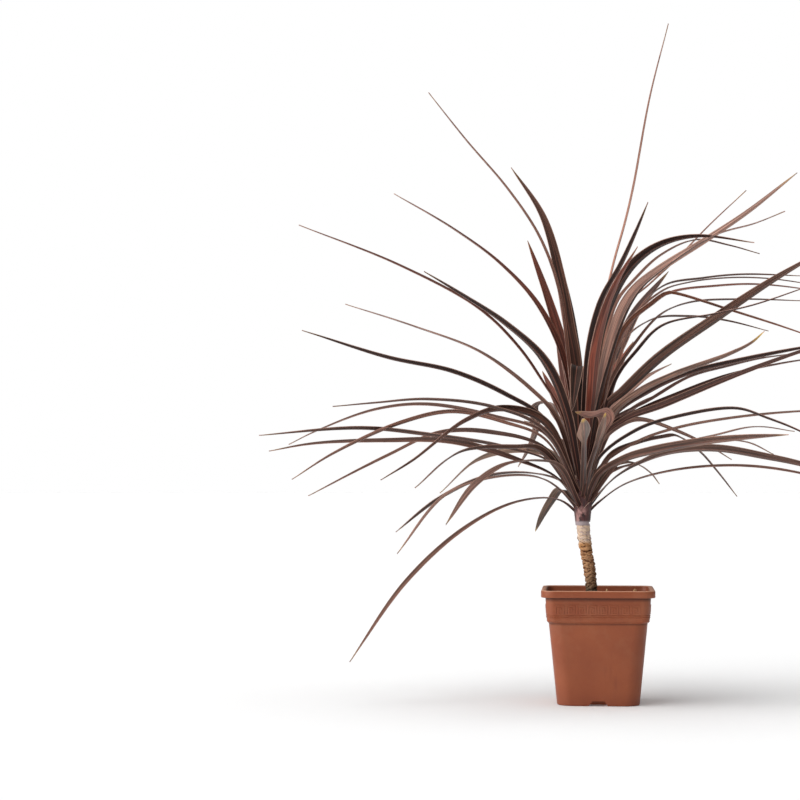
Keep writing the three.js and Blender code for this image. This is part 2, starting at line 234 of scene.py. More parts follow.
studio = {
    "floorSize": 60,
    "skySeen": 1.0, "skyLight": 0.2,
    "lamps": [
        # name, where it shines from, softness in degrees, power, whether it casts shadows
        ("keyLamp", (-0.85, -0.45, 0.80), 70, 1.7, True),
        ("sideLamp", (-1.00, -0.50, 0.35), 60, 1.5, False),
        ("topLamp", (0.00, 0.05, 1.00), 60, 1.3, True),
    ],
}


def lightStudio():
    for name, away, softness, power, casts in studio["lamps"]:
        bpy.ops.object.light_add(type="SUN", location=Vector(away) * 3,
                                 rotation=Vector(away).to_track_quat("Z", "Y").to_euler())
        lamp = justAdded(name)
        lamp.data.angle = math.radians(softness)
        lamp.data.energy = power
        lamp.data.use_shadow = casts
    # the backdrop looks white, and lights the plant less than it looks
    world = bpy.data.worlds.new("paleStudio")
    world.use_nodes = True
    tree = world.node_tree
    seen = addNode(tree, "LightPath").outputs["Is Camera Ray"]
    strength = rise(tree, seen, 0, 1, studio["skyLight"], studio["skySeen"])
    tree.links.new(strength, tree.nodes["Background"].inputs["Strength"])
    tree.nodes["Background"].inputs["Color"].default_value = (1, 1, 1, 1)
    bpy.context.scene.world = world


def layFloor():
    material, tree, shader = newMaterial("palePaper", 0.9, 0.1)
    grain = mottle(tree, objectPlace(tree), 40)
    colour = blend(tree, grain, (0.93, 0.93, 0.93, 1), (0.95, 0.95, 0.95, 1))
    tree.links.new(colour, shader.inputs["Base Color"])
    leaveAll()
    bpy.ops.mesh.primitive_plane_add(size=studio["floorSize"])
    floor = justAdded("floor")
    floor.data.materials.append(material)


lightStudio()
layFloor()
print("stage: camera, lamps and floor")


# The pot

pot = {
    "rim": 0.170, "height": 0.1726, "foot": 0.124,
    "rimDrop": 0.0108, "bandDrop": 0.036,
    "bandTop": 0.157, "bandFoot": 0.1526, "stepIn": 0.0024,
    "wall": 0.0022,
    "rimCorner": 0.020, "bandCorner": 0.013, "bodyCorner": 0.023,
    "cornerSteps": 9,
    "ridges": (0.1325, 0.1353), "ridgeHeight": 0.0014, "ridgeRise": 0.0008,
    "channelFoot": 0.030, "channelRoof": 0.018, "channelHeight": 0.0075, "channelReach": 0.025,
    "drainRadius": 0.004, "drainSides": 24,
    "keyPitch": 0.016, "keyHeight": 0.0145, "keyLine": 0.002, "keyRelief": 0.0008, "keyUnits": 8,
    "keyTopBelowRim": 0.021,
}
bandTopZ = pot["height"] - pot["rimDrop"]
bandFootZ = bandTopZ - pot["bandDrop"]
stepFootZ = bandFootZ - 0.002
bodyHalf = pot["bandFoot"] / 2 - pot["stepIn"]


def bandHalf(z):
    return mix(pot["bandFoot"], pot["bandTop"], (z - bandFootZ) / pot["bandDrop"]) / 2


def roundedSquare(half, corner, z):
    leaveAll()
    bpy.ops.mesh.primitive_plane_add(size=2 * half, location=(0, 0, z))
    bpy.ops.object.mode_set(mode="EDIT")
    bpy.ops.mesh.select_all(action="SELECT")
    bpy.ops.mesh.bevel(offset=corner, segments=pot["cornerSteps"], affect="VERTICES")
    bpy.ops.mesh.select_all(action="SELECT")
    bpy.ops.mesh.delete(type="ONLY_FACE")
    bpy.ops.object.mode_set(mode="OBJECT")
    return fixPlace(justAdded("ring"))


def loft(profile, name):
    # bridges a rounded square at each level of the profile and closes both ends
    rings = [roundedSquare(*level) for level in profile]
    count = len(rings[0].data.vertices)
    body = joinAll(rings, name)
    for level in range(len(profile) - 1):
        pick(body, lambda vertex: level * count <= vertex.index < (level + 2) * count)
        bpy.ops.mesh.bridge_edge_loops()
    for level in (0, len(profile) - 1):
        pick(body, lambda vertex: level * count <= vertex.index < (level + 1) * count)
        bpy.ops.mesh.edge_face_add()
    bpy.ops.object.mode_set(mode="OBJECT")
    return faceOut(body)


def potProfile():
    foot, rim, wall = pot["foot"] / 2, pot["rim"] / 2, pot["wall"]
    body, band, lip = pot["bodyCorner"], pot["bandCorner"], pot["rimCorner"]
    outside = [
        (foot - 0.0032, body, 0),
        (foot - 0.0012, body, 0.0004),
        (foot - 0.0003, body, 0.0014),
        (foot, body, 0.003),
        (bodyHalf - 0.0002, body, stepFootZ - 0.0008),
        (bodyHalf + 0.0008, body - 0.001, stepFootZ + 0.0002),
        (pot["bandFoot"] / 2 - 0.0008, band + 0.001, bandFootZ - 0.0004),
        (pot["bandFoot"] / 2, band, bandFootZ + 0.0006),
    ]
    for z in pot["ridges"]:
        half, crest = pot["ridgeHeight"] / 2, pot["ridgeRise"]
        for lift, out in ((-half, 0), (-half * 0.4, crest), (half * 0.4, crest), (half, 0)):
            outside.append((bandHalf(z) + out, band + out, z + lift))
    outside += [
        (bandHalf(bandTopZ), band, bandTopZ),
        (pot["bandTop"] / 2, band, bandTopZ + 0.003),
        (rim - 0.0022, lip - 0.002, bandTopZ + 0.0034),
        (rim - 0.0022, lip - 0.002, bandTopZ + 0.0006),
        (rim - 0.0014, lip - 0.001, bandTopZ),
        (rim - 0.0004, lip, bandTopZ + 0.0003),
        (rim, lip, bandTopZ + 0.0012),
        (rim, lip, pot["height"] - 0.0018),
        (rim - 0.0005, lip, pot["height"] - 0.0006),
        (rim - 0.0016, lip - 0.001, pot["height"]),
    ]
    inside = [
        (pot["bandTop"] / 2 + 0.0008, band, pot["height"] - 0.0002),
        (pot["bandTop"] / 2 - wall + 0.0014, band - wall, pot["height"] - 0.0008),
        (pot["bandTop"] / 2 - wall + 0.0006, band - wall, pot["height"] - 0.0024),
        (pot["bandFoot"] / 2 - wall, band - wall, bandFootZ + 0.0026),
        (bodyHalf - wall, body - wall, stepFootZ + 0.001),
        (foot - wall, body - wall, 0.0044),
        (foot - wall - 0.002, body - wall, wall),
    ]
    return outside + inside


def tapered(name, foot, roof, depth, low, high):
    # a block along Y whose top is narrower than its foot
    leaveAll()
    bpy.ops.mesh.primitive_cube_add(size=1)
    block = justAdded(name)
    block.scale = (foot, depth, high - low)
    block.location = (0, 0, (low + high) / 2)
    fixPlace(block)
    pick(block, lambda vertex: vertex.co.z > (low + high) / 2)
    bpy.ops.transform.resize(value=(roof / foot, 1, 1), center_override=(0, 0, high))
    bpy.ops.object.mode_set(mode="OBJECT")
    return block


def onFourSides(piece, out, name):
    sides = []
    for turn in range(4):
        side = copyOf(piece, name)
        side.rotation_euler.z = turn * math.pi / 2
        side.location = Quaternion((0, 0, 1), turn * math.pi / 2) @ Vector((0, -out, 0))
        sides.append(fixPlace(side))
    bpy.data.objects.remove(piece)
    return joinAll(sides, name)


def cutWith(piece, cutter, operation):
    settle(piece, ("BOOLEAN", {"object": cutter, "operation": operation, "solver": "EXACT"}))
    bpy.data.objects.remove(cutter)


def openDrains(shell):
    foot, wall, reach, high = pot["foot"] / 2, pot["wall"], pot["channelReach"], pot["channelHeight"]
    hump = tapered("hump", pot["channelFoot"] + 2 * wall, pot["channelRoof"] + 2 * wall, reach + wall - 0.001,
                   wall / 2, high + wall)
    cutWith(shell, onFourSides(hump, foot - 0.001 - (reach + wall - 0.001) / 2, "humps"), "UNION")
    channel = tapered("channel", pot["channelFoot"], pot["channelRoof"], reach + 0.01, -0.001, high)
    cutWith(shell, onFourSides(channel, foot + 0.01 - (reach + 0.01) / 2, "channels"), "DIFFERENCE")
    leaveAll()
    bpy.ops.mesh.primitive_cylinder_add(vertices=pot["drainSides"], radius=pot["drainRadius"], depth=0.02,
                                        location=(0, 0, high))
    drain = fixPlace(justAdded("drain"))
    cutWith(shell, onFourSides(drain, foot - reach / 2, "drains"), "DIFFERENCE")


def keyUnit():
    # one square spiral: a point drawn out along its line and back, given its width by a Solidify
    gap = pot["keyPitch"] / 4
    high = pot["keyHeight"] - pot["keyLine"]
    turns = [(0, high), (3 * gap, high), (3 * gap, 0), (gap, 0), (gap, high - gap),
             (2 * gap, high - gap), (2 * gap, gap)]
    leaveAll()
    bpy.ops.mesh.primitive_plane_add(size=0.001)
    unit = justAdded("keyUnit")
    bpy.ops.object.mode_set(mode="EDIT")
    bpy.ops.mesh.select_all(action="SELECT")
    bpy.ops.mesh.merge(type="CENTER")
    here = (0, 0)
    for there in turns:
        step = (there[0] - here[0], 0, there[1] - here[1])
        bpy.ops.mesh.extrude_region_move(TRANSFORM_OT_translate={"value": step})
        here = there
    bpy.ops.mesh.select_all(action="SELECT")
    bpy.ops.mesh.extrude_region_move(TRANSFORM_OT_translate={"value": (0, 0.001 + pot["keyRelief"], 0)})
    bpy.ops.object.mode_set(mode="OBJECT")
    settle(unit,
           ("SOLIDIFY", {"thickness": pot["keyLine"], "offset": 0, "use_even_offset": True}),
           ("BEVEL", {"width": 0.00028, "segments": 2, "limit_method": "ANGLE"}))
    return faceOut(unit)


def keyBand():
    unit = keyUnit()
    lean = math.atan((pot["bandTop"] - pot["bandFoot"]) / 2 / pot["bandDrop"])
    baseLine = pot["height"] - pot["keyTopBelowRim"] - pot["keyHeight"] + pot["keyLine"] / 2
    row = []
    for index in range(pot["keyUnits"]):
        copy = copyOf(unit, "key")
        copy.location.x = (index - pot["keyUnits"] / 2) * pot["keyPitch"] + pot["keyLine"] / 2
        row.append(fixPlace(copy))
    bpy.data.objects.remove(unit)
    band = joinAll(row, "keyRow")
    band.location = (0, -pot["keyRelief"], baseLine)
    band.rotation_euler.x = lean
    fixPlace(band)
    return onFourSides(band, bandHalf(baseLine), "keyBand")


def makePotMaterial():
    material, tree, shader = newMaterial("terracottaPlastic", 0.46, 0.3)
    place = objectPlace(tree)
    height = addNode(tree, "SeparateXYZ", {"Vector": place}).outputs["Z"]
    cloud = rise(tree, mottle(tree, place, 18, 4), 0.35, 0.7)
    colour = blend(tree, cloud, paint(136, 70, 43), paint(149, 80, 50))
    speck = rise(tree, mottle(tree, place, 900, 2), 0.6, 0.78, 0, 0.3)
    colour = blend(tree, speck, colour, paint(118, 60, 40))
    # a thin film of dust high on the body, and a darker foot
    film = reckon(tree, "MULTIPLY", rise(tree, mottle(tree, place, 30, 5, 0.65), 0.48, 0.72),
                  rise(tree, height, 0.05, 0.12, 0.1, 0.55))
    colour = blend(tree, film, colour, paint(154, 95, 66))
    colour = blend(tree, rise(tree, height, 0.0, 0.02, 0.3, 0), colour, paint(112, 56, 38))
    smear = rise(tree, mottle(tree, stretch(tree, place, (6, 6, 1)), 14, 4), 0.62, 0.75, 0, 0.3)
    colour = blend(tree, smear, colour, paint(116, 62, 44))
    # a painted highlight along the top edge of the rim
    rimHighlight = rise(tree, height, pot["height"] - 0.0016, pot["height"] - 0.0004, 0, 0.7)
    colour = blend(tree, rimHighlight, colour, paint(226, 172, 142))
    # painted shade in the creases under the rim and under the band
    for top, reach, share in ((bandTopZ, 0.0065, 0.85), (stepFootZ, 0.004, 0.55)):
        creaseShade = reckon(tree, "MULTIPLY", rise(tree, height, top - reach, top - 0.0008),
                        rise(tree, height, top - 0.0002, top + 0.0002, share, 0))
        colour = blend(tree, creaseShade, colour, paint(52, 22, 14))
    tree.links.new(colour, shader.inputs["Base Color"])
    tree.links.new(rise(tree, cloud, 0, 1, 0.4, 0.52), shader.inputs["Roughness"])
    orangePeel = mottle(tree, place, 420, 3)
    dent(tree, shader, orangePeel, 0.12, 0.0004)
    return material


def makePot():
    shell = loft(potProfile(), "potShell")
    openDrains(shell)
    shell = joinAll([faceOut(shell), keyBand()], "pot_shell")
    smooth(wear(shell, makePotMaterial()), 32)
    finish(shell, "pot")


makePot()
print("pot: shell, drains and key band")


# The soil

soil = {
    "level": 0.1606, "mound": 0.0015, "gap": 0.0006,
    "roughness": 0.004, "lumpSize": 0.009, "grainSize": 0.003, "cuts": 90,
    "crumbs": 420, "crumbSmall": 0.0009, "crumbLarge": 0.0022, "crumbMargin": 0.006,
    "chips": [(0.014, 0.034), (0.057, 0.040), (-0.045, -0.05), (0.03, -0.04), (-0.06, -0.02)],
    "chipSize": 0.0036, "chipForm": (0.9, 0.5, 1.5), "chipLean": 0.5,
}


def makeChipMaterial():
    material, tree, shader = newMaterial("barkChip", 0.9, 0.2)
    grain = mottle(tree, objectPlace(tree), 400, 3)
    tree.links.new(blend(tree, rise(tree, grain, 0.35, 0.65), paint(150, 104, 72), paint(206, 168, 126)),
                   shader.inputs["Base Color"])
    return material


def makeSoilMaterial():
    material, tree, shader = newMaterial("darkCompost", 0.95, 0.25)
    place = objectPlace(tree)
    fibre = mottle(tree, stretch(tree, place, (1, 1, 3)), 260, 5, 0.7)
    colour = blend(tree, rise(tree, fibre, 0.35, 0.65), paint(38, 26, 19), paint(84, 60, 44))
    pale = rise(tree, mottle(tree, place, 120, 2), 0.62, 0.7)
    colour = blend(tree, pale, colour, paint(128, 100, 74))
    tree.links.new(colour, shader.inputs["Base Color"])
    dent(tree, shader, mottle(tree, place, 700, 5, 0.7), 0.8, 0.0008)
    return material


def cloudTexture(name, size, depth):
    texture = bpy.data.textures.new(name, "CLOUDS")
    texture.noise_scale = size
    texture.noise_depth = depth
    return texture


def makeSoilBed():
    inset = pot["wall"] + soil["gap"]
    leaveAll()
    bpy.ops.mesh.primitive_grid_add(x_subdivisions=soil["cuts"], y_subdivisions=soil["cuts"],
                                    size=pot["bandTop"], location=(0, 0, soil["level"] - 0.001))
    block = fixPlace(justAdded("soilBlock"))
    pick(block, lambda vertex: True)
    bpy.ops.transform.translate(value=(0, 0, soil["mound"]))
    bpy.ops.object.mode_set(mode="OBJECT")
    settle(block,
           ("DISPLACE", {"texture": cloudTexture("soilLumps", soil["lumpSize"], 2),
                         "strength": soil["roughness"], "mid_level": 0.5}),
           ("DISPLACE", {"texture": cloudTexture("soilGrains", soil["grainSize"], 3),
                         "strength": soil["roughness"] / 2, "mid_level": 0.5}))
    pick(block, lambda face: True, "FACE")
    bpy.ops.mesh.extrude_region_move(TRANSFORM_OT_translate={"value": (0, 0, -soil["level"])})
    bpy.ops.object.mode_set(mode="OBJECT")
    faceOut(block)
    foot = pot["foot"] / 2
    band, body = pot["bandCorner"] - inset, pot["bodyCorner"] - inset
    form = loft([
        (foot - inset - 0.002, body, pot["wall"] + 0.0003),
        (foot - inset, body, 0.005),
        (bodyHalf - inset, body, stepFootZ + 0.0008),
        (pot["bandFoot"] / 2 - inset, band, bandFootZ + 0.0034),
        (bandHalf(soil["level"]) - inset, band, soil["level"] + 0.01),
    ], "soilForm")
    cutWith(form, block, "INTERSECT")
    hump = tapered("soilHump", pot["channelFoot"] + 2 * inset, pot["channelRoof"] + 2 * inset,
                   pot["channelReach"] + 2 * inset, 0, pot["channelHeight"] + inset)
    cutWith(form, onFourSides(hump, foot - pot["channelReach"] / 2, "soilHumps"), "DIFFERENCE")
    return form


def makeCrumb(materials):
    leaveAll()
    bpy.ops.mesh.primitive_ico_sphere_add(subdivisions=2, radius=1)
    crumb = wear(justAdded("crumb"), *materials)
    return settle(crumb, ("DISPLACE", {"texture": cloudTexture("crumbForm", 0.7, 1), "strength": 0.9}))


def scatterCrumbs(materials):
    draw = random.Random(17)
    crumb = makeCrumb(materials)
    half = pot["bandTop"] / 2 - soil["crumbMargin"]
    spots = []
    for _ in range(soil["crumbs"]):
        size = mix(soil["crumbSmall"], soil["crumbLarge"], draw.random() ** 3)
        x, y = draw.uniform(-half, half), draw.uniform(-half, half)
        spots.append((x, y, size, (1, draw.uniform(0.6, 1), draw.uniform(0.5, 0.9))))
    crumbs = []
    for x, y, size, form in spots:
        piece = copyOf(crumb, "crumb")
        piece.scale = [size * share for share in form]
        piece.rotation_euler = [draw.uniform(0, 2 * math.pi) for _ in range(3)]
        piece.location = (x, y, soil["level"] + soil["mound"] - 0.001 + size * 0.35)
        crumbs.append(piece)
    # chips of bark that stand on end in the soil
    for x, y in soil["chips"]:
        piece = copyOf(crumb, "chip")
        lean = soil["chipLean"]
        piece.scale = [soil["chipSize"] * share for share in soil["chipForm"]]
        piece.rotation_euler = (draw.uniform(-lean, lean), draw.uniform(-lean, lean),
                                draw.uniform(0, math.pi))
        piece.location = (x, y, soil["level"] + soil["mound"] + soil["chipSize"] * 0.7)
        for face in piece.data.polygons:
            face.material_index = 1
        crumbs.append(piece)
    bpy.data.objects.remove(crumb)
    return fixPlace(joinAll(crumbs, "crumbs"))


def makeSoil():
    materials = [makeSoilMaterial(), makeChipMaterial()]
    bed = joinAll([wear(makeSoilBed(), *materials), scatterCrumbs(materials)], "soil_bed")
    smooth(bed, 60)
    finish(bed, "soil")


makeSoil()
print("soil: bed and crumbs")


# The stem

stem = {
    "foot": 0.1066, "top": 0.2706, "radius": 0.009,
    "sides": 56, "scarPitch": 0.0056, "ledge": 0.0016, "slant": 9.0, "bulge": 0.08,
    "scarSteps": [
        # share of the pitch, how far out in ledges, which way it slants
        (0.12, 0.45, 1),
        (0.28, 0.55, 0),
        (0.36, 0.10, 0),
        (0.14, -0.40, -1),
        (0.10, -0.50, 0),
    ],
    "relief": [
        # cloud texture, its size and depth, strength, direction
        ("barkWaves", 0.009, 1, 0.009, "Z"),
        ("barkLumps", 0.005, 2, 0.0024, "NORMAL"),
        ("barkGrain", 0.0016, 3, 0.0014, "NORMAL"),
    ],
    "line": [(-8, 106.6), (-8.5, 152.6), (-10.5, 182.6), (-14.5, 212.6), (-18.5, 234.6), (-21.2, 254.6),
             (-22.4, 270.6)],
}


def throughPoints(points, count):
    # a centripetal curve through the points, in as many steps as asked
    ends = [points[0] * 2 - points[1]] + points + [points[-1] * 2 - points[-2]]
    route = []
    for step in range(count + 1):
        travel = step / count * (len(points) - 1)
        index = min(int(travel), len(points) - 2)
        share = travel - index
        before, start, end, after = ends[index:index + 4]
        into, over, onward = start - before, end - start, after - end
        first, middle, last = (math.sqrt(span.length) for span in (into, over, onward))
        leave = (into / first - (end - before) / (first + middle) + over / middle) * middle
        reach = (over / middle - (after - start) / (middle + last) + onward / last) * middle
        square = over * 3 - leave * 2 - reach
        cube = (start - end) * 2 + leave + reach
        route.append(start + leave * share + square * share ** 2 + cube * share ** 3)
    return route


def drawCurve(name, route, tilts=None):
    curve = bpy.data.curves.new(name, "CURVE")
    curve.dimensions = "3D"
    curve.twist_mode = "MINIMUM"
    spline = curve.splines.new("POLY")
    spline.points.add(len(route) - 1)
    for index, point in enumerate(route):
        spline.points[index].co = (*point, 1)
        spline.points[index].tilt = tilts[index] if tilts else 0
    guide = bpy.data.objects.new(name, curve)
    bpy.context.scene.collection.objects.link(guide)
    return guide


def bendAlong(piece, guide, axis):
    settle(piece, ("CURVE", {"object": guide, "deform_axis": axis}))
    bpy.data.objects.remove(guide)
    return piece


def runAlong(route):
    # how far each point of a route lies along it
    runs = [0]
    for before, after in zip(route, route[1:]):
        runs.append(runs[-1] + (after - before).length)
    return runs


def makeBark():
    # one scar after another: a ledge that stands out, then a slope back in to the next one
    draw = random.Random(5)
    route = throughPoints([Vector((x * mm, 0, z * mm)) for x, z in stem["line"]], 60)
    length = runAlong(route)[-1]
    scars = round(length / stem["scarPitch"])
    leaveAll()
    bpy.ops.mesh.primitive_circle_add(vertices=stem["sides"], radius=stem["radius"], fill_type="NGON")
    bark = justAdded("stem_bark")
    bpy.ops.object.mode_set(mode="EDIT")
    bpy.ops.mesh.select_all(action="SELECT")
    height, radius = 0, stem["radius"]

    def grow(lift, wanted, slant):
        nonlocal height, radius
        bpy.ops.mesh.extrude_region_move(TRANSFORM_OT_translate={"value": (0, 0, lift)})
        height += lift
        ratio = wanted / radius
        bpy.ops.transform.resize(value=(ratio, ratio, 1), center_override=(0, 0, height))
        radius = wanted
        if slant:
            bpy.ops.transform.rotate(value=slant, orient_axis="X" if draw.random() < 0.5 else "Y",
                                     center_override=(0, 0, height))

    for scar in range(scars):
        share = scar / scars
        widen = 1 + stem["bulge"] * math.cos(share * 2 * math.pi)
        ledge = stem["ledge"] * draw.uniform(0.6, 1.2) * mix(1, 0.45, easeIn(max(share - 0.7, 0), 0.3))
        around = stem["radius"] * widen
        pitch = length / scars
        lean = math.radians(draw.uniform(-stem["slant"], stem["slant"]))
        for lift, out, way in stem["scarSteps"]:
            grow(pitch * lift, around + ledge * out, lean * way)
    bpy.ops.object.mode_set(mode="OBJECT")
    # the last ring of each scar is the gap under the next one
    rings = len(stem["scarSteps"])
    gap = bark.data.attributes.new("barkGap", "FLOAT", "POINT")
    gap.data.foreach_set("value", [float(vertex.index // stem["sides"] % rings == 0)
                                   for vertex in bark.data.vertices])
    settle(bark, ("SUBSURF", {"levels": 1, "render_levels": 1, "subdivision_type": "SIMPLE"}))
    for name, size, depth, strength, direction in stem["relief"]:
        settle(bark, ("DISPLACE", {"texture": cloudTexture(name, size, depth), "strength": strength,
                                   "direction": direction}))
    return faceOut(bendAlong(bark, drawCurve("stemLine", route), "POS_Z"))


def makeBarkMaterial():
    material, tree, shader = newMaterial("ringedBark", 0.85, 0.2)
    place = objectPlace(tree)
    height = addNode(tree, "SeparateXYZ", {"Vector": place}).outputs["Z"]
    flat = stretch(tree, place, (1, 1, 3.2))
    patch = rise(tree, mottle(tree, flat, 90, 4, 0.6), 0.38, 0.62)
    colour = blend(tree, patch, paint(132, 86, 58), paint(198, 150, 110))
    fleck = rise(tree, mottle(tree, flat, 420, 3), 0.56, 0.7, 0, 0.7)
    colour = blend(tree, fleck, colour, paint(226, 190, 148))
    # greyer at the soil, golden higher up, cream and pinkish under the leaves
    wander = reckon(tree, "ADD", height, rise(tree, mottle(tree, place, 60, 3), 0.3, 0.7, -0.008, 0.008))
    colour = blend(tree, rise(tree, wander, 0.178, 0.205, 0.8, 0), colour, paint(138, 110, 84))
    colour = blend(tree, rise(tree, wander, 0.218, 0.236, 0, 0.45), colour, paint(206, 150, 92))
    cream = rise(tree, wander, 0.236, 0.250, 0, 0.85)
    colour = blend(tree, cream, colour, paint(228, 204, 180))
    chevron = rise(tree, mottle(tree, flat, 110, 2), 0.5, 0.6, 0, 0.8)
    colour = blend(tree, reckon(tree, "MULTIPLY", chevron, cream), colour, paint(176, 152, 156))
    # dark cracks with painted shade in the gaps between the scars, broken up and fading out under the leaves
    gap = addNode(tree, "Attribute", attribute_name="barkGap", attribute_type="GEOMETRY").outputs["Fac"]
    broken = reckon(tree, "ADD", gap, rise(tree, mottle(tree, flat, 140, 4, 0.65), 0.3, 0.7, -0.75, 0.55))
    crackAndGapShade = reckon(tree, "MULTIPLY", rise(tree, broken, 0.12, 0.45),
                   rise(tree, wander, 0.246, 0.258, 0.95, 0.1))
    colour = blend(tree, crackAndGapShade, colour, paint(74, 42, 24))
    colour = blend(tree, rise(tree, wander, 0.166, 0.178, 0.85, 0), colour, paint(66, 60, 48))
    tree.links.new(colour, shader.inputs["Base Color"])
    dent(tree, shader, mottle(tree, flat, 500, 5, 0.7), 0.6, 0.0006)
    return material


def makeStem():
    bark = smooth(wear(makeBark(), makeBarkMaterial()), 50)
    finish(bark, "stem")


makeStem()
print("stem: ringed bark")


# The leaves

blade = {
    "crownX": -0.0224, "lowestRoot": 0.2816, "highestRoot": 0.3476, "rootDepth": 0.005,
    "rootWidth": 0.009, "depthPower": 1.25, "rollLength": 0.35, "swellLength": 0.45,
    "steps": 72, "columns": 8, "foldSlope": 0.22, "rootFold": 0.75, "rootFoldLength": 0.12,
    "ribThickness": 0.0016, "marginShare": 0.4, "sway": 0.10,
    "viewTurn": 4.7, "routeLevel": 0.0026, "taperPower": 0.75, "taperBend": 3,
}

# How each kind of leaf is coloured, how yellow its tip is, and how far along its stalk it stays narrow.
coats = {
    "dark": (paint(58, 40, 34), 0.15, 0),
    "umber": (paint(88, 69, 60), 0.2, 0),
    "clay": (paint(116, 97, 87), 0.2, 0),
    "taupe": (paint(138, 119, 109), 0.3, 0),
    "rose": (paint(138, 112, 100), 0.25, 0),
    "russet": (paint(100, 60, 48), 0.15, 0),
    "red": (paint(126, 72, 56), 0.15, 0),
    "tan": (paint(154, 108, 84), 0.5, 0),
    "green": (paint(112, 104, 92), 0.5, 0),
    "ash": (paint(178, 174, 170), 0.2, 0),
    "yellowTaupe": (paint(142, 124, 112), 1.0, 0),
    "spoon": (paint(134, 120, 108), 1.0, 0.6),
    # shadedDark is a dark blade made darker still with painted shade
    "shadedDark": (paint(50, 38, 32), 0, 0),
    "flap": (paint(152, 124, 114), 0.4, 0.45),
}

